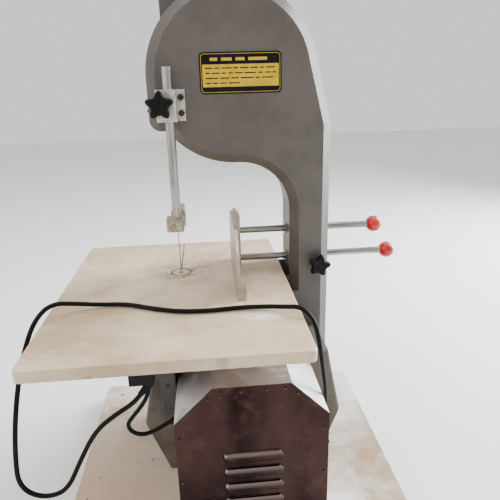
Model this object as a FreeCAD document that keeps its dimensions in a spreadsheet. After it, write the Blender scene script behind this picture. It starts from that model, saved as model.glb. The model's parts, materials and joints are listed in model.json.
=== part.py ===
import FreeCAD, Part
import math
import os
import re
import Sketcher

# Bench bone saw: a cast C-frame carries two wheels and an endless blade, a sheet table,
# a sliding fence, an adjustable blade guide, and a covered motor that drives the lower wheel.
# Frame: +X right, +Y away from the operator, +Z up, millimetres. Z = 0 is the floor,
# and X = 0 is the plane that holds both wheel axes.

SIZES = {
    # base
    "base_w": 540, "base_d": 450, "base_x": -26, "base_y": -14, "base_t": 6, "foot_h": 26,
    "base_top": 32, "foot_in": 35,
    # table
    "table_l": -301, "table_w": 380, "table_d": 484, "table_top": 355, "table_lip": 17,
    "sheet_t": 3, "insert_r": 19,
    # wheels and blade
    "wheel_r": 105, "hub_r": 18.5, "axle_r": 10, "wheel_w": 26, "wheel_mid": 68,
    "upper_z": 690, "lower_z": 195, "blade_w": 16, "blade_t": 0.6, "blade_gap": 0.3,
    # cast frame
    "face_y": 38, "case_back": 127, "wall": 7, "bevel": 15, "head_r": 138, "spine_l": 91,
    "spine_r": 161, "kink_z": 612, "throat_r": 85, "block_z": 607, "block_x": -107,
    "chamber_l": -129, "chamber_top": 316,
    # pedestal and motor cover
    "ped_y": -62, "cover_l": -115, "cover_r": 106, "cover_y": -202, "cover_top": 283,
    "cover_top_l": -59, "cover_top_r": 52, "cover_side": 229, "cover_t": 1.5,
    "motor_r": 72, "shaft_r": 12,
    # blade guide
    "bar_x": -103, "clamp_bolt_x": -115.5, "bar_y": 18, "bar_r": 7.2, "clamp_z": 648,
    "guide_z": 447, "screw_y": 50,
    # fence
    "fence_x": -12, "fence_t": 5, "fence_y0": -76, "fence_y1": 123, "fence_h": 106,
    "rod_y": 93, "rod_r": 6, "rod_low": 368, "rod_high": 421, "bush_r": 10,
    "ball_r": 15, "lock_x": 140, "ball_low_x": 286, "ball_high_x": 258,
    # cords
    "lead_d": 7, "cable_d": 6.5,
}

doc = FreeCAD.newDocument("bone_saw")
sheet = doc.addObject("Spreadsheet::Sheet", "Sizes")
for row, (size_name, size_value) in enumerate(SIZES.items(), start=1):
    sheet.set("A%d" % row, size_name)
    sheet.set("B%d" % row, str(size_value))
    sheet.setAlias("B%d" % row, size_name)
doc.recompute()

WORD = re.compile("[a-z][a-z0-9_]*")
V = FreeCAD.Vector
sub_parts = []


def bound(formula):
    """A formula as text, with each size name pointed at the size sheet."""
    if isinstance(formula, float):
        return "%.5f" % formula
    return WORD.sub(lambda found: "Sizes." + found.group(), str(formula))


def number(formula):
    """What a formula is worth now."""
    return float(sheet.evalExpression(bound(formula)))


def set_base(item, x, y, z):
    item.setExpression("Placement.Base.x", bound(x))
    item.setExpression("Placement.Base.y", bound(y))
    item.setExpression("Placement.Base.z", bound(z))
    return item


def span(low, high):
    return "(%s)-(%s)" % (high, low)


# ---------------------------------------------------------------- shapes

def block(x0, x1, y0, y1, z0, z1):
    """A box between two corners."""
    item = doc.addObject("Part::Box", "block")
    item.setExpression("Length", bound(span(x0, x1)))
    item.setExpression("Width", bound(span(y0, y1)))
    item.setExpression("Height", bound(span(z0, z1)))
    return set_base(item, x0, y0, z0)


TURNS = {
    "x": FreeCAD.Rotation(V(0, 1, 0), 90),
    "y": FreeCAD.Rotation(V(1, 0, 0), -90),
    "z": FreeCAD.Rotation(),
}


def rod(axis, radius, length, x, y, z):
    """A cylinder that starts at a point and runs along +axis."""
    item = doc.addObject("Part::Cylinder", "rod")
    item.setExpression("Radius", bound(radius))
    item.setExpression("Height", bound(length))
    item.Placement = FreeCAD.Placement(V(), TURNS[axis])
    return set_base(item, x, y, z)


def taper(axis, radius_a, radius_b, length, x, y, z):
    """A cone frustum that starts at a point and runs along +axis."""
    item = doc.addObject("Part::Cone", "taper")
    item.setExpression("Radius1", bound(radius_a))
    item.setExpression("Radius2", bound(radius_b))
    item.setExpression("Height", bound(length))
    item.Placement = FreeCAD.Placement(V(), TURNS[axis])
    return set_base(item, x, y, z)


def ball(radius, x, y, z):
    item = doc.addObject("Part::Sphere", "ball")
    item.setExpression("Radius", bound(radius))
    return set_base(item, x, y, z)


def hexagon(axis, across, length, x, y, z):
    """A hexagonal prism, across its flats, that runs along +axis."""
    item = doc.addObject("Part::Prism", "hexagon")
    item.Polygon = 6
    item.Circumradius = across / 2 / math.cos(math.pi / 6)
    item.setExpression("Height", bound(length))
    item.Placement = FreeCAD.Placement(V(), TURNS[axis])
    return set_base(item, x, y, z)


def cut(base, *tools):
    item = doc.addObject("Part::Cut", "cut")
    item.Base = base
    item.Tool = tools[0] if len(tools) == 1 else fuse(*tools)
    return item


def fuse(*pieces):
    item = doc.addObject("Part::MultiFuse", "fuse")
    item.Shapes = list(pieces)
    item.Refine = True
    return item


def shared(first, second):
    item = doc.addObject("Part::Common", "shared")
    item.Base = first
    item.Tool = second
    return item


def group(*pieces):
    """Separate solids kept together, unfused."""
    item = doc.addObject("Part::Compound", "group")
    item.Links = list(pieces)
    return item


def ring(axis, outer, inner, length, x, y, z):
    return cut(rod(axis, outer, length, x, y, z), rod(axis, inner, length, x, y, z))


def edges_where(item, test):
    doc.recompute()
    return [i for i, edge in enumerate(item.Shape.Edges, start=1) if test(edge)]


def rounded(item, radius, test):
    """Fillet of every edge that the test picks."""
    picked = edges_where(item, test)
    result = doc.addObject("Part::Fillet", "rounded")
    result.Base = item
    result.Edges = [(i, number(radius), number(radius)) for i in picked]
    return result


def chamfered(item, size, test):
    picked = edges_where(item, test)
    result = doc.addObject("Part::Chamfer", "chamfered")
    result.Base = item
    result.Edges = [(i, number(size), number(size)) for i in picked]
    return result


def runs_along(axis):
    """A test for straight edges along one axis."""
    unit = {"x": V(1, 0, 0), "y": V(0, 1, 0), "z": V(0, 0, 1)}[axis]

    def test(edge):
        if not isinstance(edge.Curve, Part.Line):
            return False
        return abs(edge.Curve.Direction.dot(unit)) > 0.999

    return test


# ---------------------------------------------------------------- sketched bodies

PLANES = {"front": "XZ_Plane", "side": "YZ_Plane", "top": "XY_Plane"}


def sketch_on(body, view, start):
    """A sketch on one of the body's own origin planes, moved to start along its axis."""
    sketch = body.newObject("Sketcher::SketchObject", "outline")
    plane = [item for item in body.Origin.OriginFeatures if item.Role == PLANES[view]][0]
    sketch.AttachmentSupport = [(plane, "")]
    sketch.MapMode = "FlatFace"
    sign = "-1" if view == "front" else "1"
    sketch.setExpression("AttachmentOffset.Base.z", "%s*(%s)" % (sign, bound(start)))
    return sketch


def draw_polygon(sketch, corners):
    """A closed outline whose every corner is held by two dimensions."""
    values = [(number(a), number(b)) for a, b in corners]
    count = len(corners)
    for i in range(count):
        (ax, ay), (bx, by) = values[i], values[(i + 1) % count]
        sketch.addGeometry(Part.LineSegment(V(ax, ay, 0), V(bx, by, 0)))
    for i in range(count):
        sketch.addConstraint(Sketcher.Constraint("Coincident", i, 2, (i + 1) % count, 1))
    for i in range(count):
        for kind, value, formula in zip(("DistanceX", "DistanceY"), values[i], corners[i]):
            index = sketch.addConstraint(Sketcher.Constraint(kind, -1, 1, i, 1, value))
            sketch.setExpression("Constraints[%d]" % index, bound(formula))


def slab(view, corners, start, end):
    """A polygon seen in one view and padded from start to end along that view's axis."""
    body = doc.addObject("PartDesign::Body", "slab")
    sketch = sketch_on(body, view, start)
    draw_polygon(sketch, corners)
    pad = body.newObject("PartDesign::Pad", "pad")
    pad.Profile = sketch
    pad.setExpression("Length", bound(span(start, end)))
    pad.Reversed = view == "front"
    body.Tip = pad
    return body


def turned(corners, x, y, z, axis="y"):
    """A profile of (radius, distance along the axis) points, revolved about a line along y or z."""
    body = doc.addObject("PartDesign::Body", "turned")
    sketch = sketch_on(body, "top" if axis == "y" else "front", 0)
    draw_polygon(sketch, corners)
    spin = body.newObject("PartDesign::Revolution", "spin")
    spin.Profile = sketch
    spin.ReferenceAxis = (sketch, ["V_Axis"])
    spin.Angle = 360
    body.Tip = spin
    return set_base(body, x, y, z)


def sub_part(label, item):
    item.Label = label
    sub_parts.append(item)
    return item


# ---------------------------------------------------------------- base

bolts = []
screws = []
supports = []
BRACKET_BOLTS = [(-130, 180), (-130, 222)]
FEET = [(sx, sy) for sx in (-1, 1) for sy in (-1, 1)]


def foot_place(sx, sy):
    return "base_x+%d*(base_w/2-foot_in)" % sx, "base_y+%d*(base_d/2-foot_in)" % sy


PED_BOLTS = [(-118, -50), (104, -50), (-118, 24), (104, 24)]


def make_base():
    plate = block("base_x-base_w/2", "base_x+base_w/2", "base_y-base_d/2", "base_y+base_d/2",
                  "foot_h", "base_top")
    plate = rounded(plate, 18, runs_along("z"))
    holes = [rod("z", 4.2, "base_t", *foot_place(sx, sy), "foot_h") for sx, sy in FEET]
    holes += [rod("z", 4.5, "base_t", x, y, "foot_h") for x, y in PED_BOLTS]
    sub_part("base_plate", cut(plate, *holes))
    feet = []
    anchors = []
    for sx, sy in FEET:
        x, y = foot_place(sx, sy)
        foot = taper("z", 17, 20, "foot_h", x, y, 0)
        pocket = fuse(rod("z", 8, 16, x, y, 0), rod("z", 4.2, "foot_h", x, y, 0))
        feet.append(cut(foot, pocket))
        anchors.append(fuse(rod("z", 7, 4, x, y, 12), rod("z", 4, "base_top-16", x, y, 16)))
    sub_part("rubber_feet", group(*feet))
    for x, y in PED_BOLTS:
        anchors.append(fuse(hexagon("z", 13, 5.3, x, y, "foot_h-5.3"),
                            rod("z", 4, 24, x, y, "foot_h")))
    sub_part("base_bolts", group(*anchors))


# ---------------------------------------------------------------- cast frame

def frame_outline(start, end, inset="0"):
    """The C-frame's outline, round head, spine and lower chamber, as one solid."""
    head = rod("y", "head_r-(%s)" % inset, span(start, end), 0, start, "upper_z")
    lean = math.atan2(number("upper_z-kink_z"), number("spine_r"))
    reach = math.hypot(number("spine_r"), number("upper_z-kink_z"))
    touch = math.acos(number("head_r") / reach) - lean
    touch_x = "head_r*%.6f" % math.cos(touch)
    touch_z = "upper_z+head_r*%.6f" % math.sin(touch)
    spine = slab("front", [
        ("0", "upper_z"),
        ("0", "upper_z-head_r+(%s)" % inset),
        ("spine_l-throat_r", "upper_z-head_r+(%s)" % inset),
        ("spine_l+(%s)" % inset, "upper_z-head_r+(%s)" % inset),
        ("spine_l+(%s)" % inset, "chamber_top-(%s)" % inset),
        ("chamber_l+(%s)" % inset, "chamber_top-(%s)" % inset),
        ("chamber_l+(%s)" % inset, "base_top+66"),
        ("chamber_l+28+(%s)*0.6" % inset, "base_top+(%s)" % inset),
        ("spine_r-36-(%s)*0.6" % inset, "base_top+(%s)" % inset),
        ("spine_r-(%s)" % inset, "base_top+76"),
        ("spine_r-(%s)" % inset, "kink_z"),
        ("%s-(%s)" % (touch_x, inset), touch_z + "-(%s)*0.2" % inset),
    ], start, end)
    corner = block("-head_r+(%s)" % inset, "block_x-(%s)*0.3" % inset, start, end,
                   "block_z+(%s)" % inset, "upper_z")
    return fuse(head, spine, corner)


def throat_corner(start, end, inset="0"):
    """The web that turns the throat's upper corner into a large arc."""
    size = "throat_r-(%s)" % inset
    x = "spine_l+(%s)" % inset
    z = "upper_z-head_r+(%s)" % inset
    web = block("%s-(%s)" % (x, size), x, start, end, "%s-(%s)" % (z, size), z)
    hollow = rod("y", size, span(start, end), "%s-(%s)" % (x, size), start,
                 "%s-(%s)" % (z, size))
    return cut(web, hollow)


SLOT_Y = ("wheel_mid-14", "wheel_mid+14")
ROD_HEIGHTS = ("rod_low", "rod_high")
LATCHES = {"upper": (-129, 632), "lower": (-105, 252)}


def make_frame_casting():
    shell = fuse(frame_outline("face_y", "case_back"), throat_corner("face_y", "case_back"))
    shell = rounded(shell, 18, lambda e: runs_along("y")(e) and near(e, -138, 607))
    doc.recompute()
    face = number("face_y")
    deep = number("chamber_top") + 1

    def on_face(edge):
        box = edge.BoundBox
        return box.YMax < face + 0.01 and box.ZMax > deep

    shell = chamfered(shell, "bevel", on_face)
    front_room = fuse(frame_outline("face_y+wall", "face_y+bevel+5", "18"),
                      block("chamber_l+wall", "spine_r-18", "face_y+wall", "face_y+bevel+5",
                            "base_top+80", "chamber_top-wall"))
    rear_room = frame_outline("face_y+bevel+5", "case_back", "wall")
    blade_x = "-wheel_r-blade_gap-blade_t/2"
    exits = [
        block(blade_x + "-6", blade_x + "+7", *SLOT_Y, "block_z-22", "upper_z-30"),
        block(blade_x + "-6", blade_x + "+7", *SLOT_Y, "chamber_top-12", "chamber_top"),
        rod("y", "shaft_r+10", "wall", 0, "face_y", "lower_z"),
        rod("y", 4.2, "bevel+wall+8", "lock_x", "face_y", "rod_low"),
    ]
    for height in ROD_HEIGHTS:
        exits.append(rod("x", "bush_r", "spine_r-spine_l+2", "spine_l-1", "rod_y", height))
    shell = cut(shell, front_room, rear_room, *exits)
    bosses = [rod("y", 9, 26, x, "case_back-26", z) for x, z in LATCHES.values()]
    recesses = [rod("y", 4.8, 9, x, "case_back-8", z) for x, z in LATCHES.values()]
    crown = "upper_z+head_r"
    shell = fuse(shell, rod("z", 12, 18, 0, "screw_y", crown + "-16"))
    shell = cut(shell, rod("z", 4.3, 30, 0, "screw_y", crown + "-22"))
    sill = shared(frame_outline("case_back-wall", "case_back", "1"),
                  block(-200, 200, 100, 130, "base_top", 59))
    sub_part("frame_casting", cut(fuse(shell, sill, *bosses), *recesses))


def near(edge, x, z):
    centre = edge.BoundBox.Center
    return abs(centre.x - x) < 1 and abs(centre.z - z) < 1


def motor_bolt_places():
    """Four bolts at the corners of a square about the motor's axis."""
    return [(35 * sx, number("lower_z") + 35 * sz) for sx, sz in FEET]


def bolt_holes(places, start, length):
    return [rod("y", 4.05, length, x, start, z) for x, z in places]


def make_pedestal():
    """The hollow cast box in front of the lower chamber that the motor bolts to."""
    def outline(inset, start, end):
        return slab("front", [
            ("-140+%s*1.3" % inset, "base_top"),
            ("124-%s*1.3" % inset, "base_top"),
            ("161-%s" % inset, "132"),
            ("148-%s" % inset, "198"),
            ("139-%s" % inset, "246-%s" % inset),
            ("-155+%s" % inset, "246-%s" % inset),
            ("-164+%s" % inset, "198"),
            ("-177+%s" % inset, "132"),
        ], start, end)

    shell = outline(0, "ped_y", "face_y-0.3")
    shell = rounded(shell, 5, lambda e: e.BoundBox.YMax < number("ped_y") + 0.01
                    and e.BoundBox.ZMin > number("base_top") + 0.01)
    room = outline(8, "ped_y+8", "face_y-8.3")
    shell = cut(shell, room, rod("y", "shaft_r+22", 12, 0, "ped_y-1", "lower_z"),
                rod("y", "shaft_r+12", 14, 0, "face_y-12", "lower_z"))
    shell = cut(shell, *bolt_holes(BRACKET_BOLTS + motor_bolt_places(), "ped_y-1", 12))
    pads = [cut(rod("z", 11, 22, x, y, "base_top"), rod("z", 4.05, 18, x, y, "base_top"))
            for x, y in PED_BOLTS]
    sub_part("pedestal", fuse(shell, *pads))


def make_rear_cover():
    plate = shared(frame_outline("case_back+0.3", "case_back+2.8", "1"),
                   block("spine_l-20", "spine_r+5", "case_back", "case_back+5", 320, 546))
    sub_part("spine_rear_cover", plate)
    for x in (96, 156):
        for z in (334, 433, 532):
            screws.append(taper("y", 4.5, 3, 2.4, x, "case_back+2.8", z))


# ---------------------------------------------------------------- doors

def door(low, high, pan, corner, label):
    """A plate that closes the frame's open back, with a raised pan and two hinge straps."""
    back = "case_back+0.3"
    plate = shared(fuse(frame_outline(back, back + "+3", "0.5"),
                        throat_corner(back, back + "+3", "0.5")),
                   block(-300, 300, 100, 200, low, high))
    x0, x1, z0, z1 = pan
    hood = rounded(block(x0, x1, back + "+3", back + "+27", z0, z1), corner,
                   lambda e: runs_along("y")(e))
    hood = rounded(hood, 6, lambda e: e.BoundBox.YMin > number(back) + 26.9)
    hollow = block(x0 + 3, x1 - 3, back + "-1", back + "+24", z0 + 3, z1 - 3)
    hollow = shared(hollow, frame_outline(back + "-2", back + "+30", "10"))
    hole = rod("y", 4.3, 12, LATCHES[label][0], "case_back-2", LATCHES[label][1])
    return cut(fuse(plate, hood), hollow, hole)


HINGE_X = 168
HINGE_Y = 132
HINGES = {"upper": (551, 598), "lower": (110, 270)}
KNUCKLE = 16


def make_doors():
    pans = {"upper": (550, 900, (-114, 100, 662, 838), 14),
            "lower": (60, 317, (-76, 128, 72, 290), 18)}
    fixed = []
    pins = []
    for label, (low, high, pan, corner) in pans.items():
        straps = []
        for z in HINGES[label]:
            knuckle = fuse(rod("z", 5, KNUCKLE, HINGE_X, HINGE_Y, z),
                           block(130, HINGE_X, "case_back+3.3", "case_back+6", z, z + KNUCKLE))
            straps.append(cut(knuckle, rod("z", 2.55, KNUCKLE, HINGE_X, HINGE_Y, z)))
            for end in (z - KNUCKLE + 0.7, z + KNUCKLE + 0.3):
                leaf = fuse(rod("z", 5, KNUCKLE - 1, HINGE_X, HINGE_Y, end),
                            block("spine_r+0.3", "spine_r+3.3", 92, HINGE_Y, end,
                                  end + KNUCKLE - 1))
                fixed.append(cut(leaf, rod("z", 2.5, KNUCKLE, HINGE_X, HINGE_Y, end)))
            pins.append(rod("z", 2.5, 3 * KNUCKLE, HINGE_X, HINGE_Y, z - KNUCKLE))
        sub_part(label + "_door", fuse(door(low, high, pan, corner, label), *straps))
    sub_part("door_hinges", group(*fixed, *pins))


# ---------------------------------------------------------------- star knobs

LOBES = 5


def star_knob(label, size, height, stud_r, stud, x, y, z, turn):
    """A five-lobed grip on a threaded stud; the stud points along +Y, -Y or -Z."""
    lobe = size * 0.17
    pieces = [taper("z", size * 0.3, size * 0.27, height * 0.35, 0, 0, 0),
              rod("z", size * 0.335, height * 0.65, 0, 0, height * 0.35)]
    for i in range(LOBES):
        angle = 2 * math.pi * (i + 0.25) / LOBES
        reach = size / 2 - lobe
        pieces.append(rod("z", lobe, height * 0.6, reach * math.cos(angle),
                          reach * math.sin(angle), height * 0.38))
    pieces.append(rod("z", stud_r, stud + height * 0.3, 0, 0, -stud))
    item = fuse(*pieces)
    item.Placement = FreeCAD.Placement(V(number(x), number(y), number(z)), turn)
    return sub_part(label, item)


FACING_FRONT = FreeCAD.Rotation(V(1, 0, 0), 90)
FACING_BACK = FreeCAD.Rotation(V(1, 0, 0), -90)
FACING_UP = FreeCAD.Rotation()


def make_knobs():
    star_knob("guide_lock_knob", 44, 19, 3, 23, "clamp_bolt_x", "bar_y-12.5", "clamp_z",
              FACING_FRONT)
    star_knob("fence_lock_knob", 40, 18, 4, number("rod_y-rod_r-0.3-(face_y-4)"), "lock_x",
              "face_y-4", "rod_low", FACING_FRONT)
    star_knob("tension_knob", 52, 22, 4, 167, 0, "screw_y", "upper_z+head_r+16", FACING_UP)
    for label, (x, z) in LATCHES.items():
        star_knob(label + "_latch_knob", 42, 18, 4, 9.5, x, "case_back+4.5", z, FACING_BACK)


# ---------------------------------------------------------------- wheels

def wheel_profile(bore_r):
    """Rim, dished web and hub of a blade wheel, from its front edge to its back edge."""
    return [
        (bore_r, "-6"), ("30", "-6"), ("34", "2"), ("wheel_r-12", "4"),
        ("wheel_r-8", "-wheel_w/2"), ("wheel_r", "-wheel_w/2"), ("wheel_r", "wheel_w/2-3"),
        ("wheel_r+2", "wheel_w/2-3"), ("wheel_r+2", "wheel_w/2"), ("wheel_r-8", "wheel_w/2"),
        ("wheel_r-12", "10"), ("34", "10"), ("30", "13"), (bore_r, "13"),
    ]


def blade_wheel(label, z, bore_r):
    """A turned wheel with round lightening holes in its web."""
    wheel = turned(wheel_profile(bore_r), 0, "wheel_mid", z)
    holes = []
    for i in range(6):
        angle = 2 * math.pi * i / 6
        holes.append(rod("y", 15, 20, 64 * math.cos(angle), "wheel_mid-5",
                         "%s+%.4f" % (z, 64 * math.sin(angle))))
    return sub_part(label, cut(wheel, *holes))


def make_wheels():
    blade_wheel("upper_wheel", "upper_z", "hub_r")
    blade_wheel("lower_wheel", "lower_z", "shaft_r")
    races = [ring("y", "hub_r", "axle_r+0.05", 9, 0, start, "upper_z")
             for start in ("wheel_mid-5.5", "wheel_mid+3.5")]
    sub_part("wheel_bearings", group(*races))
    sub_part("shaft_nut", cut(hexagon("y", 36, 9, 0, "wheel_mid+13.3", "lower_z"),
                              rod("y", "shaft_r", 9, 0, "wheel_mid+13.3", "lower_z")))


def make_blade():
    """The endless band: two straight runs joined by a half turn over each wheel."""
    y0 = "wheel_mid-blade_w/2"
    inner = "wheel_r+blade_gap"
    outer = "wheel_r+blade_gap+blade_t"

    def loop(radius):
        y1 = y0 + "+blade_w"
        return fuse(rod("y", radius, "blade_w", 0, y0, "upper_z"),
                    rod("y", radius, "blade_w", 0, y0, "lower_z"),
                    block("-(%s)" % radius, radius, y0, y1, "lower_z", "upper_z"))

    sub_part("saw_blade", cut(loop(outer), loop(inner)))


def make_tension_slide():
    z0, z1 = "upper_z-26", "upper_z+26"
    wall_y = "face_y+wall"
    slide = block(-28, 28, wall_y + "+0.3", wall_y + "+13", z0, z1)
    slide = cut(slide, rod("z", 4.05, 48, 0, "screw_y", "upper_z-20"))
    sub_part("tension_slide", slide)
    rails = []
    for side in (-1, 1):
        x0, x1 = sorted((side * 28.3, side * 40))
        rail = block(x0, x1, wall_y, wall_y + "+13", "upper_z-62", "upper_z+62")
        for z in ("upper_z-50", "upper_z+50"):
            rail = cut(rail, rod("y", 3, 20, side * 34, wall_y + "-1", z))
            screws.append(fuse(rod("y", 3, 12.5, side * 34, wall_y + "+0.5", z),
                               rod("y", 5, 4, side * 34, wall_y + "+13", z)))
        rails.append(rail)
    sub_part("tension_rails", group(*rails))
    sub_part("upper_axle", fuse(rod("y", "axle_r", 36, 0, wall_y + "+13", "upper_z"),
                                rod("y", 14, 3.5, 0, wall_y + "+13", "upper_z")))
    nut_y = "wheel_mid+13.5"
    sub_part("axle_nut", cut(fuse(rod("y", 15, 2, 0, nut_y, "upper_z"),
                                  hexagon("y", 27, 10, 0, nut_y, "upper_z")),
                             rod("y", "axle_r", 40, 0, "wheel_mid", "upper_z")))
    crown = "upper_z+head_r+2.2"
    rings = [cut(taper("z", 11 - 3 * (i % 2), 8 + 3 * (i % 2), 2.2, 0, "screw_y",
                       "%s+%.2f" % (crown, 2.3 * i)),
                 rod("z", 4.3, 4, 0, "screw_y", "%s+%.2f" % (crown, 2.3 * i - 1)))
             for i in range(5)]
    sub_part("tension_spring_washers", group(*rings))


# ---------------------------------------------------------------- blade guide

def make_guide():
    z0, z1 = "clamp_z-24", "clamp_z+24"
    body = block("clamp_bolt_x-6.5", -91, "bar_y-11", "face_y", z0, z1)
    plate = block(-92, -78, "face_y-6", "face_y", z0, z1)
    body = fuse(rounded(body, 3, runs_along("z")), plate)
    body = cut(body, rod("z", "bar_r+0.06", 60, "bar_x", "bar_y", "clamp_z-30"),
               block(-130, "bar_x", "bar_y-1", "bar_y+1", z0, z1),
               rod("y", 3.3, 31, "clamp_bolt_x", "bar_y-14", "clamp_z"),
               rod("y", 3.1, 20, -84.5, "face_y-10", "clamp_z+12"),
               rod("y", 3.1, 20, -84.5, "face_y-10", "clamp_z-12"))
    sub_part("guide_clamp", body)
    for z in ("clamp_z-12", "clamp_z+12"):
        cap = fuse(rod("y", 3, 6, -84.5, "face_y-6", z), rod("y", 5, 5, -84.5, "face_y-11", z))
        screws.append(cut(cap, hexagon("y", 4, 3, -84.5, "face_y-12", z)))
    sub_part("guide_bar", rod("z", "bar_r", 252, "bar_x", "bar_y", "guide_z+6"))
    blade_x = "-wheel_r-blade_gap-blade_t/2"
    foot = rounded(block("bar_x-17", "bar_x+11", "bar_y-14", "bar_y+16", "guide_z+2",
                         "guide_z+23"), 4, runs_along("z"))
    foot = cut(foot, rod("z", "bar_r", 20, "bar_x", "bar_y", "guide_z+6"))
    arm = block("bar_x-9", "bar_x+6", "bar_y+15", "wheel_mid-13", "guide_z+4", "guide_z+19")
    jaw = block("bar_x-12", "bar_x+12", "wheel_mid-15", "wheel_mid+24", "guide_z-2",
                "guide_z+30")
    jaw = rounded(jaw, 8, lambda e: runs_along("y")(e) and e.BoundBox.ZMin > number("guide_z+29"))
    slot = block(blade_x + "-0.8", blade_x + "+0.8", "wheel_mid-9.5", "wheel_mid+25",
                 "guide_z-10", "guide_z+32")
    room = block("bar_x-6.6", "bar_x+2.4", "wheel_mid+8", "wheel_mid+25", "guide_z+1",
                 "guide_z+21")
    pin_y, pin_z = "wheel_mid+17.4", "guide_z+11"
    pin_hole = rod("x", 2.56, 24, "bar_x-12", pin_y, pin_z)
    sub_part("blade_guide", cut(fuse(foot, arm, jaw), slot, room, pin_hole))
    sub_part("guide_roller", fuse(rod("x", 9, 8, "bar_x-6.1", pin_y, pin_z),
                                  rod("x", 2.5, 23, "bar_x-11.5", pin_y, pin_z)))


# ---------------------------------------------------------------- table

def make_table():
    right = "table_l+table_w"
    half = "table_d/2"
    under = "table_top-table_lip"
    top = block("table_l", right, "-" + half, half, under, "table_top")
    top = rounded(top, 10, runs_along("z"))
    top = rounded(top, 2.6, lambda e: e.BoundBox.ZMin > number("table_top") - 0.01)
    room = block("table_l+sheet_t", right + "-sheet_t", "sheet_t-" + half, half + "-sheet_t",
                 under + "-1", "table_top-sheet_t")
    blade_x = "-wheel_r-blade_gap-blade_t/2"
    slot = block(blade_x + "-1.3", blade_x + "+1.3", "wheel_mid", half + "+1", under + "-1",
                 "table_top+1")
    hole = rod("z", "insert_r+0.1", 30, blade_x, "wheel_mid-2", under)
    sub_part("table_top", cut(top, room, slot, hole))
    disc = rod("z", "insert_r", "sheet_t+2", blade_x, "wheel_mid-2", "table_top-sheet_t-2")
    disc = cut(disc, block(blade_x + "-1.4", blade_x + "+1.4", "wheel_mid-10", "wheel_mid+25",
                           "table_top-20", "table_top+1"))
    sub_part("blade_insert", disc)
    rails = [block(-286, 66, y, y + 24, "table_top-15", "table_top-sheet_t") for y in (-40, 6)]
    supports.extend(rails)
    sub_part("table_edge_seal", block(right + "+0.3", "spine_l", "face_y+16", "case_back-4",
                                      "table_top-14", "table_top-6"))


def make_table_supports():
    rail_z = "table_top-15"
    leg = slab("side", [(-92, rail_z), (32, rail_z), (32, rail_z + "-16"), (-38, "246"),
                        ("ped_y", "246"), ("ped_y", "165"), (-92, "165")], -150, -118)
    front = slab("front", [(-148, rail_z), (-118, rail_z), (-118, "160"), (-139, "160")],
                 -100, 40)
    bracket = cut(shared(leg, front), *bolt_holes(BRACKET_BOLTS, -101, 70))
    post = block(36, 72, -42, 32, 246, rail_z)
    post = cut(post, block(35, 48, -34, 24, 256, rail_z + "-10"),
               block(60, 73, -34, 24, 256, rail_z + "-10"))
    sub_part("table_frame", group(bracket, post, *supports))
    for x, z in BRACKET_BOLTS:
        bolts.append(fuse(rod("y", 4, 38, x, "ped_y-30", z), hexagon("y", 13, 6, x, "ped_y+8", z)))


def make_blade_aids():
    blade_x = "-wheel_r-blade_gap-blade_t/2"
    shoe = block(-122, -89, 46, 92, "chamber_top", "chamber_top+15")
    shoe = cut(shoe, block(blade_x + "-0.9", blade_x + "+0.9", "wheel_mid-9.5", 93,
                           "chamber_top-1", "chamber_top+16"))
    sub_part("lower_blade_guide", shoe)
    wheel_low = "lower_z-wheel_r"
    arm = block(-9, 9, "face_y+wall", "wheel_mid-10", wheel_low + "-26", wheel_low + "-7")
    lip = block(-9, 9, "wheel_mid-12", "wheel_mid+9", wheel_low + "-14", wheel_low + "-1.6")
    sub_part("wheel_scraper", fuse(arm, lip))


# ---------------------------------------------------------------- fence

def make_fence():
    low = "table_top+0.5"
    top = "table_top+fence_h"
    plate = slab("side", [("fence_y0", low), ("fence_y1", low), ("fence_y1", top + "-26"),
                          ("fence_y1-30", top), ("fence_y0+52", top), ("fence_y0", top + "-34")],
                 "fence_x", "fence_x+fence_t")
    plate = rounded(plate, 28, lambda e: runs_along("x")(e) and e.BoundBox.ZMin
                    > number("table_top") + 50)
    lip = block("fence_x+fence_t-1", "fence_x+fence_t+9", "fence_y0", "fence_y0+3", low,
                "table_top+38")
    face = "fence_x+fence_t"
    carrier = block(face, face + "+12", "rod_y-16", "rod_y+16", "rod_low-10", top + "-1")
    carrier = rounded(carrier, 9, lambda e: runs_along("y")(e) and e.BoundBox.XMin > 2
                      and e.BoundBox.ZMin > number(top) - 2)
    for height in ROD_HEIGHTS:
        carrier = cut(carrier, rod("x", "rod_r", 20, face + "-1", "rod_y", height))
    sub_part("fence_plate", fuse(plate, lip, carrier))
    rods = [rod("x", "rod_r", span(face, end + "-4"), face, "rod_y", height)
            for height, end in zip(ROD_HEIGHTS, ("ball_low_x", "ball_high_x"))]
    sub_part("fence_rods", group(*rods))
    balls = [cut(ball("ball_r", x, "rod_y", height),
                 rod("x", "rod_r", 20, x + "-24", "rod_y", height))
             for height, x in zip(ROD_HEIGHTS, ("ball_low_x", "ball_high_x"))]
    sub_part("ball_knobs", group(*balls))
    bushes = []
    for height in ROD_HEIGHTS:
        bush = fuse(rod("x", "bush_r", "spine_r-spine_l+1", "spine_l-1", "rod_y", height),
                    rod("x", 10, 2, "spine_l-2", "rod_y", height))
        bushes.append(cut(bush, rod("x", "rod_r+0.05", 90, "spine_l-8", "rod_y", height),
                          rod("y", 4.2, 20, "lock_x", "rod_y-20", "rod_low")))
    sub_part("rod_bushes", group(*bushes))


# ---------------------------------------------------------------- cord routes

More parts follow.
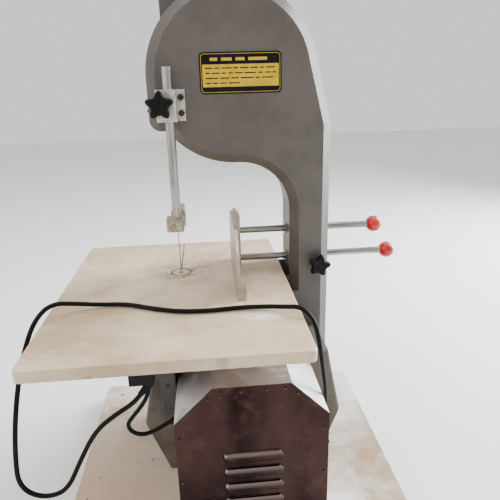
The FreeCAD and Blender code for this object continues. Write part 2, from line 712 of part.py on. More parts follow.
LEAD = [
    (-160, -176, 266), (-170, -176, 253), (-198, -178, 237), (-228, -180, 214),
    (-254, -182, 168), (-277, -185, 121), (-303, -187, 111), (-329, -188, 119),
    (-344, -188, 142), (-341, -187, 184), (-336, -180, 232), (-330, -164, 280),
    (-321, -142, 326), (-309, -119, 362), (-288, -99, 380), (-258, -82, 370), (-224, -69, 360),
    (-184, -70, 359), (-146, -91, 359), (-104, -109, 359), (-58, -113, 359), (-14, -108, 359),
    (26, -112, 360), (54, -124, 363), (77, -140, 369), (93, -155, 352), (99, -163, 320),
    (103, -164, 284), (109, -158, 248), (115, -144, 210), (118, -126, 172), (119, -106, 134),
    (128, -90, 96), (141, -68, 62), (148, -32, 42), (150, 12, 36), (147, 58, 36),
    (146, 100, 36), (143, 138, 36), (144, 174, 40), (139, 206, 50), (131, 238, 40),
    (126, 262, 15), (112, 290, 5.5), (82, 306, 5), (50, 312, 7.5),
]
MOTOR_CABLE = [
    (-150, -158, 267), (-153, -158, 251), (-166, -156, 230), (-180, -153, 212),
    (-189, -150, 198), (-184, -147, 181), (-167, -144, 172), (-145, -140, 178),
    (-125, -136, 188),
]


# ---------------------------------------------------------------- motor

def cover_outline(inset, start, end):
    lean = 0.41 * inset
    return slab("front", [
        ("cover_l+%s" % inset, "base_top"), ("cover_l+%s" % inset, "cover_side-%s" % lean),
        ("cover_top_l+%s" % lean, "cover_top-%s" % inset),
        ("cover_top_r-%s" % lean, "cover_top-%s" % inset),
        ("cover_r-%s" % inset, "cover_side-%s" % lean), ("cover_r-%s" % inset, "base_top"),
    ], start, end)


PANEL_SCREWS = [(-47, 276), (-20, 276), (16, 276), (42, 276), (-66, 267), (60, 266),
                (-109, 205), (100, 205), (-109, 128), (100, 128), (-109, 50), (100, 50)]
LOUVRES = 5
LOUVRE_TOP_Z = 166
LOUVRE_PITCH = 27
LOUVRE_R = 8.5
LOUVRE_ENDS = (-41, 33)


def louvre(radius, y, z):
    """A bar with round ends, as long as a louvre."""
    left, right = LOUVRE_ENDS
    return fuse(rod("x", radius, right - left, left, y, z), ball(radius, left, y, z),
                ball(radius, right, y, z))


def make_motor_cover():
    sheet_y = "cover_y+cover_t"
    back = "ped_y-0.5"
    shell = cover_outline(0, sheet_y, back)
    room = cover_outline(1.5, "cover_y", back + "-1.5")
    door_way = fuse(rod("y", 78, 20, 0, "ped_y-10", "lower_z"),
                    block(-113.5, 104.5, "ped_y-10", "ped_y+2", 30, 200))
    entry = rod("x", 6, 10, "cover_l-4", *MOTOR_CABLE[-1][1:])
    sub_part("motor_cover", cut(shell, room, door_way, entry))
    panel = cover_outline(0, "cover_y", sheet_y)
    left, right = LOUVRE_ENDS
    for i in range(LOUVRES):
        z = LOUVRE_TOP_Z - LOUVRE_PITCH * i
        box = block(left - 20, right + 20, "cover_y-10", sheet_y, z - 10, z + 10)
        panel = fuse(panel, shared(louvre(LOUVRE_R, sheet_y, z), box))
        mouth = block(left, right, "cover_y-10", sheet_y + "-0.4", z - 10, z - 0.4 * LOUVRE_R)
        panel = cut(panel, louvre(LOUVRE_R - 1.3, sheet_y, z), mouth)
    for x, z in PANEL_SCREWS:
        panel = cut(panel, rod("y", 1.6, 6, x, "cover_y-2", z))
    sub_part("motor_front_panel", panel)
    screws = [fuse(rod("y", 1.6, 4, x, "cover_y", z), taper("y", 1.7, 2.2, 1.6, x, "cover_y-1.6", z))
              for x, z in PANEL_SCREWS]
    sub_part("panel_screws", group(*screws))


VANES = 7


def make_motor():
    z = "lower_z"
    flange_y = "ped_y-16"
    stator_y = "ped_y-88"
    bell_y = "ped_y-100"
    flange = fuse(rod("y", "motor_r+3", 6, 0, "ped_y-6", z),
                  taper("y", "motor_r", "motor_r-10", 10, 0, flange_y, z))
    flange = cut(flange, rod("y", 26, 16, 0, flange_y, z),
                 *bolt_holes(motor_bolt_places(), flange_y + "-1", 18))
    stator = ring("y", "motor_r", 46, 72, 0, stator_y, z)
    sub_part("motor_stator", stator)
    bell = cut(rod("y", "motor_r", 12, 0, bell_y, z), rod("y", 26, 12, 0, bell_y, z))
    sub_part("motor_bells", group(flange, bell))
    races = [ring("y", 26, "shaft_r+0.05", 12, 0, bell_y, z),
             ring("y", 26, "shaft_r+0.05", 12, 0, "ped_y-14", z),
             ring("y", "shaft_r+12", "shaft_r+0.05", 11.7, 0, "face_y-12", z)]
    sub_part("shaft_bearings", group(*races))
    sub_part("motor_rotor", ring("y", 45, "shaft_r", 60, 0, "ped_y-82", z))
    shaft = rod("y", "shaft_r", "wheel_mid+24-(ped_y-116)", 0, "ped_y-116", z)
    sub_part("drive_shaft", shaft)
    vanes = [ring("y", 20, "shaft_r", 12, 0, "ped_y-115", z)]
    for i in range(VANES):
        vane = group(block(-1, 1, "ped_y-114", "ped_y-104", "lower_z+18", "lower_z+58"))
        vane.Placement = FreeCAD.Placement(V(), FreeCAD.Rotation(V(0, 1, 0), 360 * i / VANES),
                                           V(0, 0, number(z)))
        vanes.append(vane)
    sub_part("motor_fan", fuse(*vanes))
    cup = cut(rod("y", 70, 22, 0, "ped_y-122", z), rod("y", 68.5, 22, 0, "ped_y-120.5", z))
    slots = [rod("y", 5, 4, 38 * math.cos(a), "ped_y-123", "%s+%.3f" % (z, 38 * math.sin(a)))
             for a in [math.pi * i / 5 for i in range(10)]]
    sub_part("fan_cover", cut(cup, rod("y", 14, 4, 0, "ped_y-123", z), *slots))
    for x, bolt_z in motor_bolt_places():
        bolts.append(fuse(rod("y", 4, 22, x, "ped_y-14", bolt_z),
                          hexagon("y", 13, 5, x, "ped_y+8", bolt_z)))
    sub_part("run_capacitor", fuse(rod("y", 16, 70, -92, -150, "base_top+19"),
                                   rod("y", 5, 74, -92, -154, "base_top+19")))


# ---------------------------------------------------------------- switch

SWITCH = (-172, -138, -192, -146, 289, 335)
BUTTONS = {"start_button": -162.5, "stop_button": -147.5}
BUTTON_Z = 318
GLANDS = {"mains_lead": (-146, -176), "motor_cable": (-150, -158)}


def make_switch():
    x0, x1, y0, y1, z0, z1 = SWITCH
    case = rounded(block(x0, x1, y0, y1, z0, z1), 2.5, lambda e: not runs_along("y")(e)
                   and e.BoundBox.YMax < y0 + 0.1)
    tools = [block(x0 + 2.5, x1 - 2.5, y0 + 3, y1 - 2.5, z0 + 2.5, z1 - 2.5)]
    tools += [rod("y", 6.6, 5, x, y0 - 1, BUTTON_Z) for x in BUTTONS.values()]
    tools += [rod("z", 4.5, 5, x, y, z0 - 1) for x, y in GLANDS.values()]
    hanger = block(x0 + 4, x1 - 4, y0 + 10, y1 - 6, z1, "table_top-sheet_t")
    hanger = cut(hanger, block(x0 + 7, x1 - 7, y0 + 5, y1, z1 - 1, "table_top-sheet_t-3"))
    sub_part("switch_box", fuse(cut(case, *tools), hanger))
    for label, x in BUTTONS.items():
        cap = fuse(rod("y", 6.4, 14, x, y0 - 4, BUTTON_Z), rod("y", 6.9, 2, x, y0 + 4.5, BUTTON_Z))
        sub_part(label, cap)


BOOT_R = 6


def boot(x, y, top, length, cord_r, lean):
    """A collar and a tapered strain relief, which leans lean degrees towards -X from vertical."""
    neck = top - BOOT_R
    cone = group(taper("z", cord_r + 0.8, BOOT_R, length, 0, 0, -length))
    cone.Placement = FreeCAD.Placement(V(x, y, neck), FreeCAD.Rotation(V(0, 1, 0), lean))
    return fuse(rod("z", BOOT_R, BOOT_R, x, y, neck), ball(BOOT_R, x, y, neck), cone)


# ---------------------------------------------------------------- cords

def cord_path(points):
    """Straight runs joined by tangent arcs, each as large as its two runs allow."""
    points = [V(*point) for point in points]
    edges = []
    radii = []
    start = points[0]
    for before, corner, after in zip(points, points[1:], points[2:]):
        inward = (corner - before).normalize()
        outward = (after - corner).normalize()
        half_turn = inward.getAngle(outward) / 2
        tangent = 0.45 * min((corner - before).Length, (after - corner).Length)
        radius = tangent / math.tan(half_turn)
        radii.append(radius)
        first = corner - inward * tangent
        last = corner + outward * tangent
        middle = corner + (outward - inward).normalize() * (radius / math.cos(half_turn) - radius)
        edges.append(Part.LineSegment(start, first).toShape())
        edges.append(Part.Arc(first, middle, last).toShape())
        start = last
    edges.append(Part.LineSegment(start, points[-1]).toShape())
    return Part.Wire(edges), radii


def cord_tube(label, points, diameter):
    """A cord's tube, made along its path and checked against section times length."""
    path, radii = cord_path(points)
    across = V(*points[1]) - V(*points[0])
    section = Part.Wire([Part.makeCircle(diameter / 2, V(*points[0]), across)])
    item = doc.addObject("Part::Feature", "cord")
    item.Shape = path.makePipeShell([section], True, False)
    expected = math.pi * diameter ** 2 / 4 * path.Length
    print(label, "length %.0f" % path.Length, "volume ratio %.4f" % (item.Shape.Volume / expected))
    print(label, "radii", " ".join("%.0f" % radius for radius in radii))
    return sub_part(label, item)


def make_cords():
    lead = number("lead_d")
    cable = number("cable_d")
    cord_tube("mains_lead", LEAD, lead)
    cord_tube("motor_cable", MOTOR_CABLE, cable)
    under_box = SWITCH[4]
    end_x, end_y, end_z = MOTOR_CABLE[-1]
    entry = fuse(rod("x", 5.8, 6, end_x + 6, end_y, end_z), rod("x", 8.5, 4, end_x + 6, end_y, end_z),
                 taper("x", 4.6, 7, 6, end_x, end_y, end_z))
    sub_part("cable_glands", group(boot(*GLANDS["mains_lead"], under_box, 22, lead / 2, 40),
                                   boot(*GLANDS["motor_cable"], under_box, 16, cable / 2, 0), entry))
    make_plug()


def make_plug():
    end = V(*LEAD[-1])
    along = (end - V(*LEAD[-2]))
    heading = math.degrees(math.atan2(along.y, along.x))
    neck = taper("x", 3.7, 7, 26, 0, 0, 0)
    grip = rounded(block(26, 60, -13, 13, -7, 11), 4, lambda e: True)
    pins = [rod("x", 2.4, 20, 59, side, 2) for side in (-8, 8)]
    place = FreeCAD.Placement(end, FreeCAD.Rotation(V(0, 0, 1), heading))
    body = fuse(neck, grip)
    body.Placement = place
    sub_part("plug_body", body)
    blades = group(*[cut(pin, block(50, 60, -20, 20, -10, 20)) for pin in pins])
    blades.Placement = place
    sub_part("plug_pins", blades)


# ---------------------------------------------------------------- name plate

def make_name_plate():
    plate = block(-53, 76, "face_y-1.2", "face_y", 663, 725)
    sub_part("name_plate", rounded(plate, 7, runs_along("y")))


# ---------------------------------------------------------------- build

make_base()
make_frame_casting()
make_pedestal()
make_rear_cover()
make_doors()
make_knobs()
make_wheels()
make_blade()
make_tension_slide()
make_guide()
make_table()
make_table_supports()
make_blade_aids()
make_fence()
make_motor_cover()
make_motor()
make_switch()
make_cords()
make_name_plate()
sub_part("frame_bolts", group(*bolts))
sub_part("frame_screws", group(*screws))
doc.recompute()

for item in doc.Objects:
    if "Invalid" in item.State or "Error" in item.State:
        raise RuntimeError("%s (%s) failed: %s" % (item.Name, item.Label, item.State))
for item in sub_parts:
    if item.Shape.isNull() or not item.Shape.isValid():
        raise RuntimeError("bad shape: " + item.Label)

os.makedirs("parts", exist_ok=True)
for item in sub_parts:
    item.Shape.exportStep("parts/%s.step" % item.Label)
print(len(sub_parts), "sub-parts")
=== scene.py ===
import json
import math
import random

import bmesh
import bpy
from mathutils import Matrix, Vector


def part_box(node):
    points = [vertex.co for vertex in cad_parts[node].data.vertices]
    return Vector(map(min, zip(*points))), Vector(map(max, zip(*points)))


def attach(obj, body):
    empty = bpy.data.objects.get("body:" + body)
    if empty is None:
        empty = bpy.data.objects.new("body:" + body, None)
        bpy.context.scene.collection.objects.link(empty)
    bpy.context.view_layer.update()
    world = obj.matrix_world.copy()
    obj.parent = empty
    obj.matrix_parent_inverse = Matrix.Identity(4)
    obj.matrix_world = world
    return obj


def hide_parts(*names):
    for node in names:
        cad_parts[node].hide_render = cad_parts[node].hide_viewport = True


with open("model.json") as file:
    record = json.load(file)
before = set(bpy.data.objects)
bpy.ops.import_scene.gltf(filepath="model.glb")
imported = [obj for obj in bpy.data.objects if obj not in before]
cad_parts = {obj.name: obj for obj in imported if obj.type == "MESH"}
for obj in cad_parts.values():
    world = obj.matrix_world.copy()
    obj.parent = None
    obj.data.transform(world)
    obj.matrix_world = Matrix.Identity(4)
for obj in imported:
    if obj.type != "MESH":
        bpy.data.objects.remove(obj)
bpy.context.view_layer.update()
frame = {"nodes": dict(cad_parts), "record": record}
nodes = frame["nodes"]
random.seed(7)
MM = 0.001
INSERT_CENTRE = Vector((-0.1056, 0.066, 0.355))
BAND_THICKNESS = 0.6 * MM


# ---------------------------------------------------------------- shader helpers

def colour(red, green, blue):
    """A linear colour from the 0 to 255 values that a screen shows."""
    def linear(value):
        value /= 255
        return value / 12.92 if value <= 0.04045 else ((value + 0.055) / 1.055) ** 2.4
    return (linear(red), linear(green), linear(blue), 1.0)


class Surface:
    """One node material, built up from a principled shader."""

    def __init__(self, name, roughness=0.5, metallic=0.0, coat=0.0, specular=0.5):
        self.material = bpy.data.materials.new(name)
        self.material.use_nodes = True
        self.tree = self.material.node_tree
        self.shader = self.tree.nodes["Principled BSDF"]
        self.shader.inputs["Roughness"].default_value = roughness
        self.shader.inputs["Metallic"].default_value = metallic
        self.shader.inputs["Coat Weight"].default_value = coat
        self.shader.inputs["Coat Roughness"].default_value = 0.12
        self.shader.inputs["Specular IOR Level"].default_value = specular
        self.coords = self.add("ShaderNodeTexCoord").outputs["Object"]

    def add(self, kind, **settings):
        item = self.tree.nodes.new(kind)
        for key, value in settings.items():
            setattr(item, key, value)
        return item

    def join(self, source, target):
        self.tree.links.new(source, target)

    def maths(self, operation, a, b):
        item = self.add("ShaderNodeMath", operation=operation, use_clamp=True)
        for socket, value in zip(item.inputs, (a, b)):
            if isinstance(value, (int, float)):
                socket.default_value = value
            else:
                self.join(value, socket)
        return item.outputs[0]

    def clouds(self, scale, detail=4.0, rough=0.6, stretch=(1, 1, 1), turn=0.0):
        """Noise whose features are about 1 / scale metres across."""
        mapping = self.add("ShaderNodeMapping")
        mapping.inputs["Scale"].default_value = stretch
        mapping.inputs["Rotation"].default_value = (0, 0, turn)
        self.join(self.coords, mapping.inputs["Vector"])
        noise = self.add("ShaderNodeTexNoise")
        noise.inputs["Scale"].default_value = scale
        noise.inputs["Detail"].default_value = detail
        noise.inputs["Roughness"].default_value = rough
        self.join(mapping.outputs[0], noise.inputs["Vector"])
        return noise.outputs["Fac"]

    def steps(self, factor, low, high):
        """0 below low, 1 above high, and smooth between them."""
        item = self.add("ShaderNodeMapRange", interpolation_type="SMOOTHSTEP")
        item.inputs["From Min"].default_value = low
        item.inputs["From Max"].default_value = high
        self.join(factor, item.inputs["Value"])
        return item.outputs[0]

    def blend(self, factor, a, b):
        item = self.add("ShaderNodeMix", data_type="RGBA", blend_type="MIX")
        for socket, value in ((item.inputs[0], factor), (item.inputs[6], a), (item.inputs[7], b)):
            if isinstance(value, (int, float, tuple)):
                socket.default_value = value
            else:
                self.join(value, socket)
        return item.outputs[2]

    def near(self, centre, low, high, squash=(1, 1, 1)):
        """1 within low metres of a point, 0 beyond high metres."""
        shift = self.add("ShaderNodeVectorMath", operation="SUBTRACT")
        self.join(self.coords, shift.inputs[0])
        shift.inputs[1].default_value = centre
        scale = self.add("ShaderNodeVectorMath", operation="MULTIPLY")
        self.join(shift.outputs[0], scale.inputs[0])
        scale.inputs[1].default_value = squash
        length = self.add("ShaderNodeVectorMath", operation="LENGTH")
        self.join(scale.outputs[0], length.inputs[0])
        return self.steps(length.outputs["Value"], high, low)

    def edges(self, radius):
        """1 on sharp edges, 0 on flat faces."""
        bevel = self.add("ShaderNodeBevel", samples=4)
        bevel.inputs["Radius"].default_value = radius
        geometry = self.add("ShaderNodeNewGeometry")
        dot = self.add("ShaderNodeVectorMath", operation="DOT_PRODUCT")
        self.join(bevel.outputs[0], dot.inputs[0])
        self.join(geometry.outputs["Normal"], dot.inputs[1])
        return self.steps(dot.outputs["Value"], 0.98, 0.80)

    def upward(self):
        """1 where the surface faces up, where dust lies and where a painted highlight goes."""
        geometry = self.add("ShaderNodeNewGeometry")
        parts = self.add("ShaderNodeSeparateXYZ")
        self.join(geometry.outputs["Normal"], parts.inputs[0])
        return self.steps(parts.outputs["Z"], 0.15, 0.75)

    def relief(self, height, strength, distance, radius):
        """Bump from a height, over edges softened by radius."""
        bump = self.add("ShaderNodeBump")
        bump.inputs["Strength"].default_value = strength
        bump.inputs["Distance"].default_value = distance
        self.join(height, bump.inputs["Height"])
        bevel = self.add("ShaderNodeBevel", samples=4)
        bevel.inputs["Radius"].default_value = radius
        self.join(bevel.outputs[0], bump.inputs["Normal"])
        self.join(bump.outputs[0], self.shader.inputs["Normal"])
        return self

    def paint(self, value):
        if isinstance(value, tuple):
            self.shader.inputs["Base Color"].default_value = value
        else:
            self.join(value, self.shader.inputs["Base Color"])
        return self

    def gloss(self, factor, low, high):
        """Roughness that runs from low to high with a factor."""
        item = self.add("ShaderNodeMapRange")
        item.inputs["To Min"].default_value = low
        item.inputs["To Max"].default_value = high
        self.join(factor, item.inputs["Value"])
        self.join(item.outputs[0], self.shader.inputs["Roughness"])
        return self


# ---------------------------------------------------------------- materials

def enamel(name, base, dark, chip, rough=(0.34, 0.52), grime=0.55, pebble=900):
    """Cast or sheet metal under old paint: mottled, grimy in patches, and chipped along edges."""
    s = Surface(name)
    mottled = s.blend(s.steps(s.clouds(14, 5), 0.35, 0.7), base, dark)
    specks = s.steps(s.clouds(260, 2), 0.66, 0.74)
    mottled = s.blend(s.maths("MULTIPLY", specks, 0.35), mottled, dark)
    patches = s.maths("MULTIPLY", s.steps(s.clouds(5, 6, 0.7), 0.52, 0.72), grime)
    grimy = s.blend(patches, mottled, dark)
    worn = s.maths("MULTIPLY", s.edges(0.0014), s.steps(s.clouds(120, 4), 0.45, 0.6))
    s.paint(s.blend(worn, grimy, chip))
    s.gloss(s.clouds(40, 4), *rough)
    return s.relief(s.clouds(pebble, 3), 0.16, 0.0006, 0.0008).material


def table_enamel():
    """Cream stoved enamel, scratched by years of bones, with brown stains about the blade."""
    s = Surface("cream_enamel_table", coat=0.12)
    cream = colour(211, 191, 161)
    tan = colour(176, 148, 115)
    brown = colour(116, 88, 60)
    grey = colour(150, 146, 140)
    base = s.blend(s.steps(s.clouds(7, 6, 0.65), 0.36, 0.68), cream, tan)
    rubbed = s.maths("MULTIPLY", s.steps(s.clouds(22, 5, 0.7, (1, 2.6, 1), 0.6), 0.55, 0.72), 0.45)
    base = s.blend(rubbed, base, grey)
    halo = s.maths("MULTIPLY", s.near(INSERT_CENTRE, 0.018, 0.075),
                   s.steps(s.clouds(45, 5), 0.36, 0.6))
    base = s.blend(s.maths("MULTIPLY", halo, 0.72), base, brown)
    spots = s.maths("MULTIPLY", s.steps(s.clouds(95, 3, 0.5), 0.70, 0.76), 0.7)
    base = s.blend(spots, base, brown)
    smear_centre = Vector((0.02, -0.135, 0.355))
    smear = s.near(smear_centre, 0.006, 0.05, (1, 2.4, 1))
    base = s.blend(s.maths("MULTIPLY", smear, s.steps(s.clouds(70, 4), 0.42, 0.56)), base,
                   colour(236, 232, 222))
    for turn, stretch in ((0.25, (1, 46, 1)), (-0.9, (1, 60, 1)), (1.35, (1, 38, 1))):
        lines = s.steps(s.clouds(9, 3, 0.5, stretch, turn), 0.665, 0.70)
        base = s.blend(s.maths("MULTIPLY", lines, 0.42), base, colour(128, 114, 96))
    worn = s.maths("MULTIPLY", s.edges(0.002), s.steps(s.clouds(90, 4), 0.42, 0.56))
    s.paint(s.blend(s.maths("MULTIPLY", worn, 0.8), base, brown))
    s.gloss(s.clouds(18, 5), 0.26, 0.5)
    return s.relief(s.clouds(420, 4), 0.12, 0.0005, 0.0008).material


def insert_nylon():
    """Pale nylon, browned round its rim and along the blade."""
    s = Surface("insert_nylon", roughness=0.55)
    brown = colour(112, 82, 42)
    base = s.blend(s.near(INSERT_CENTRE, 0.0138, 0.0160), brown, colour(204, 188, 156))
    base = s.blend(s.near(INSERT_CENTRE, 0.002, 0.009, (1.6, 0.7, 1)), base, colour(70, 48, 28))
    stains = s.maths("MULTIPLY", s.steps(s.clouds(160, 4), 0.5, 0.7), 0.4)
    s.paint(s.blend(stains, base, brown))
    return s.relief(s.clouds(500, 3), 0.10, 0.0004, 0.0005).material


def base_enamel():
    """White enamel with rust freckles, and painted warm shade towards its front left corner."""
    s = Surface("base_enamel", roughness=0.42)
    white = colour(222, 220, 218)
    dirt = colour(160, 136, 106)
    rust = colour(126, 70, 36)
    base = s.blend(s.steps(s.clouds(6, 6, 0.65), 0.40, 0.70), white, dirt)
    # painted warm shade: the white turns tan towards the front left corner
    left_corner = Vector((-0.30, -0.15, 0.03))
    painted_shade_side = s.near(left_corner, 0.06, 0.42)
    base = s.blend(s.maths("MULTIPLY", painted_shade_side, 0.9), base, colour(190, 163, 132))
    base = s.blend(s.steps(s.clouds(75, 4, 0.6), 0.665, 0.71), base, rust)
    worn = s.maths("MULTIPLY", s.edges(0.0018), s.steps(s.clouds(60, 4), 0.44, 0.58))
    s.paint(s.blend(worn, base, rust))
    return s.relief(s.clouds(300, 4), 0.12, 0.0005, 0.0008).material


def brushed(name, tint, dark, rough=(0.24, 0.4), stretch=(1, 1, 40), scale=30):
    """Ground or brushed metal, grained across stretch's long side."""
    s = Surface(name, metallic=1.0)
    grain = s.clouds(scale, 6, 0.7, stretch)
    patches = s.steps(s.clouds(25, 4), 0.45, 0.7)
    base = s.blend(s.steps(grain, 0.35, 0.65), tint, dark)
    s.paint(s.blend(s.maths("MULTIPLY", patches, 0.4), base, dark))
    s.gloss(grain, *rough)
    return s.relief(grain, 0.06, 0.0002, 0.0004).material


def mirror_sheet(name, tint, dark, rough, stain, dust_and_highlight, spread=(0.42, 0.62)):
    """Polished stainless sheet under a film of grease, dull smears and dried spots, with painted
    reflections in broad patches and lighter upward faces, partly dust and partly a painted
    highlight.
    """
    s = Surface(name, metallic=1.0)
    # painted reflections: broad patches between dark and tint stand in for what the sheet mirrors
    painted_reflections = s.steps(s.clouds(7, 3, 0.5, (1.6, 1, 0.6)), *spread)
    base = s.blend(painted_reflections, dark, tint)
    film = s.steps(s.clouds(34, 6, 0.7), 0.5, 0.72)
    base = s.blend(s.maths("MULTIPLY", film, 0.35), base, stain)
    spots = s.steps(s.clouds(170, 3), 0.69, 0.73)
    base = s.blend(s.maths("MULTIPLY", spots, 0.55), base, stain)
    # faces that look up turn lighter: partly dust, partly a painted highlight on the louvre tops
    s.paint(s.blend(s.maths("MULTIPLY", s.upward(), dust_and_highlight), base, colour(136, 120, 116)))
    s.gloss(s.maths("ADD", film, spots), *rough)
    return s.relief(s.clouds(12, 2), 0.10, 0.002, 0.0005).material


def plastic(name, base, dark, rough=(0.3, 0.46), coat=0.0, dust=None, specular=0.5):
    """A moulding or a painted film, mottled, with dust lying in patches if it has any."""
    s = Surface(name, coat=coat, specular=specular)
    body = s.blend(s.steps(s.clouds(60, 4), 0.4, 0.7), base, dark)
    if dust:
        lying = s.maths("MULTIPLY", s.steps(s.clouds(140, 5), 0.5, 0.75), 0.14)
        body = s.blend(lying, body, dust)
    s.paint(body)
    s.gloss(s.clouds(90, 4), *rough)
    return s.relief(s.clouds(1500, 3), 0.08, 0.0003, 0.0005).material


def make_materials():
    black = colour(9, 10, 12)
    soot = colour(4, 4, 6)
    steel = colour(176, 174, 170)
    dull = colour(120, 116, 110)
    chips = colour(168, 160, 148)
    return {
        "cast_frame": enamel("cast_frame_enamel", colour(87, 81, 75), colour(74, 68, 63),
                             chips, (0.34, 0.50), 0.22, 700),
        "pedestal_paint": enamel("pedestal_enamel", colour(96, 88, 78), colour(64, 57, 49),
                                 chips, (0.45, 0.65), 0.6, 500),
        "cream_enamel": table_enamel(),
        "base_paint": base_enamel(),
        "dark_paint": enamel("dark_frame_paint", colour(64, 61, 60), colour(38, 36, 35), dull),
        "steel": brushed("steel_part", steel, dull),
        "blade_steel": brushed("band_steel", colour(92, 90, 80), colour(58, 55, 46),
                               (0.5, 0.65), (1, 1, 8), 60),
        "polished_steel": mirror_sheet("cover_steel", colour(232, 228, 228), colour(206, 200, 200),
                                       (0.46, 0.66), colour(176, 164, 152), 0.3),
        # painted reflection: the panel's dark brown tint and dark stand in for dark surroundings
        # that it mirrors
        "panel_steel": mirror_sheet("front_panel_steel", colour(58, 42, 40), colour(26, 17, 17),
                                    (0.10, 0.34), colour(84, 66, 58), 0.8, (0.34, 0.66)),
        "bright_rod": brushed("bright_rod_steel", colour(172, 169, 164), colour(108, 105, 102),
                              (0.2, 0.36), (1, 30, 30), 14),
        "bar_steel": brushed("guide_bar_steel", colour(196, 193, 186), colour(140, 136, 130),
                             (0.24, 0.4), (30, 30, 1), 14),
        "fence_steel": brushed("fence_stainless", colour(206, 199, 188), colour(168, 160, 148),
                               (0.36, 0.55), (24, 1, 24), 20),
        "clamp_metal": brushed("clamp_aluminium", colour(214, 211, 203), colour(168, 162, 152),
                               (0.4, 0.55), (1, 1, 1), 120),
        "guide_block": brushed("guide_casting", colour(198, 190, 176), colour(142, 132, 116),
                               (0.42, 0.58), (1, 1, 1), 110),
        "insert_plastic": insert_nylon(),
        "black_plastic": plastic("black_moulding", black, soot, dust=colour(60, 59, 58),
                                 specular=0.16),
        "red_plastic": plastic("red_moulding", colour(196, 14, 16), colour(160, 8, 12),
                               (0.2, 0.34), coat=0.3),
        "stop_red": plastic("stop_red_moulding", colour(190, 24, 22), colour(150, 14, 14)),
        "start_green": plastic("start_green_moulding", colour(30, 122, 58), colour(16, 84, 40)),
        "cable_black": plastic("cable_sheath", colour(12, 12, 11), colour(6, 6, 6),
                               (0.4, 0.55), dust=colour(60, 58, 54), specular=0.12),
        "rubber_black": plastic("black_rubber", colour(18, 18, 17), soot, (0.6, 0.8),
                                specular=0.15),
        "wheel_iron": brushed("machined_iron", colour(120, 116, 112), colour(78, 74, 70),
                              (0.34, 0.5), (1, 30, 1), 30),
        "motor_iron": enamel("motor_paint", colour(92, 104, 110), colour(58, 66, 70), chips),
        "zinc": brushed("zinc_plate", colour(188, 184, 172), colour(136, 130, 116), (0.3, 0.46),
                        (1, 1, 1), 200),
        "label": plastic("label_yellow", colour(206, 168, 8), colour(184, 148, 6),
                         (0.36, 0.5)),
        "dark_screws": brushed("blackened_screws", colour(92, 84, 76), colour(48, 42, 38),
                               (0.35, 0.6), (1, 1, 1), 260),
        # partly dried dust, partly painted shade standing in for the dark inside the blade slot
        "residue": plastic("slot_dust_and_shade", colour(136, 118, 94), colour(104, 88, 68), (0.7, 0.9)),
        "brass": brushed("pin_brass", colour(196, 160, 86), colour(150, 116, 54)),
        "scraper": plastic("scraper_nylon", colour(206, 198, 172), colour(168, 156, 126)),
    }


materials = make_materials()
OWN_MATERIAL = {"motor_front_panel": "panel_steel", "guide_bar": "bar_steel",
                "panel_screws": "dark_screws", "frame_bolts": "dark_screws",
                "frame_screws": "dark_screws", "rod_bushes": "steel"}


def dress(item, name):
    item.data.materials.clear()
    item.data.materials.append(materials[name])
    return item


def dress_nodes():
    """Every carried-over part gets the material of its slot, or one of its own."""
    for entry in frame["record"]["subparts"]:
        name = entry["node"]
        dress(nodes[name], OWN_MATERIAL.get(name, entry["material_slot"]))


# ---------------------------------------------------------------- piece helpers


def new_piece(name, mesh_data, body, slot, replaced=()):
    item = bpy.data.objects.new(name, mesh_data)
    bpy.context.scene.collection.objects.link(item)
    dress(item, slot)
    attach(item, body)
    if replaced:
        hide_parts(*replaced)
    return item


def loft(name, rings):
    """A closed skin through rings that all have the same number of points."""
    form = bmesh.new()
    layers = [[form.verts.new(point) for point in ring] for ring in rings]
    count = len(layers[0])
    for low, high in zip(layers, layers[1:]):
        for i in range(count):
            form.faces.new((low[i], low[(i + 1) % count], high[(i + 1) % count], high[i]))
    form.faces.new(list(reversed(layers[0])))
    form.faces.new(layers[-1])
    bmesh.ops.recalc_face_normals(form, faces=form.faces)
    data = bpy.data.meshes.new(name)
    form.to_mesh(data)
    form.free()
    return data


def smooth(data, angle):
    for face in data.polygons:
        face.use_smooth = True
    data.set_sharp_from_angle(angle=math.radians(angle))
    return data


# ---------------------------------------------------------------- camera and light

CAMERA_PLACE = (-0.0517, -0.7896, 0.6793)
CAMERA_AIM = Vector((0.0802, 0.9444, -0.3190))
CAMERA_ROLL_DEG = -1.54
SENSOR_WIDTH = 36
LENS = 35.86


def make_camera():
    """Stands in front of the table, a little left of its middle, and looks slightly down."""
    data = bpy.data.cameras.new("camera")
    data.sensor_width = SENSOR_WIDTH
    data.lens = LENS
    item = bpy.data.objects.new("camera", data)
    item.location = CAMERA_PLACE
    turn = CAMERA_AIM.to_track_quat("-Z", "Y").to_matrix()
    roll = Matrix.Rotation(math.radians(CAMERA_ROLL_DEG), 3, "Z")
    item.rotation_euler = (turn @ roll).to_euler()
    bpy.context.scene.collection.objects.link(item)
    bpy.context.scene.camera = item


def area_light(name, place, target, size, power, tint):
    data = bpy.data.lights.new(name, "AREA")
    data.shape = "RECTANGLE"
    data.size, data.size_y = size
    data.energy = power
    data.color = tint
    item = bpy.data.objects.new(name, data)
    item.location = place
    item.rotation_euler = (Vector(target) - Vector(place)).to_track_quat("-Z", "Y").to_euler()
    bpy.context.scene.collection.objects.link(item)


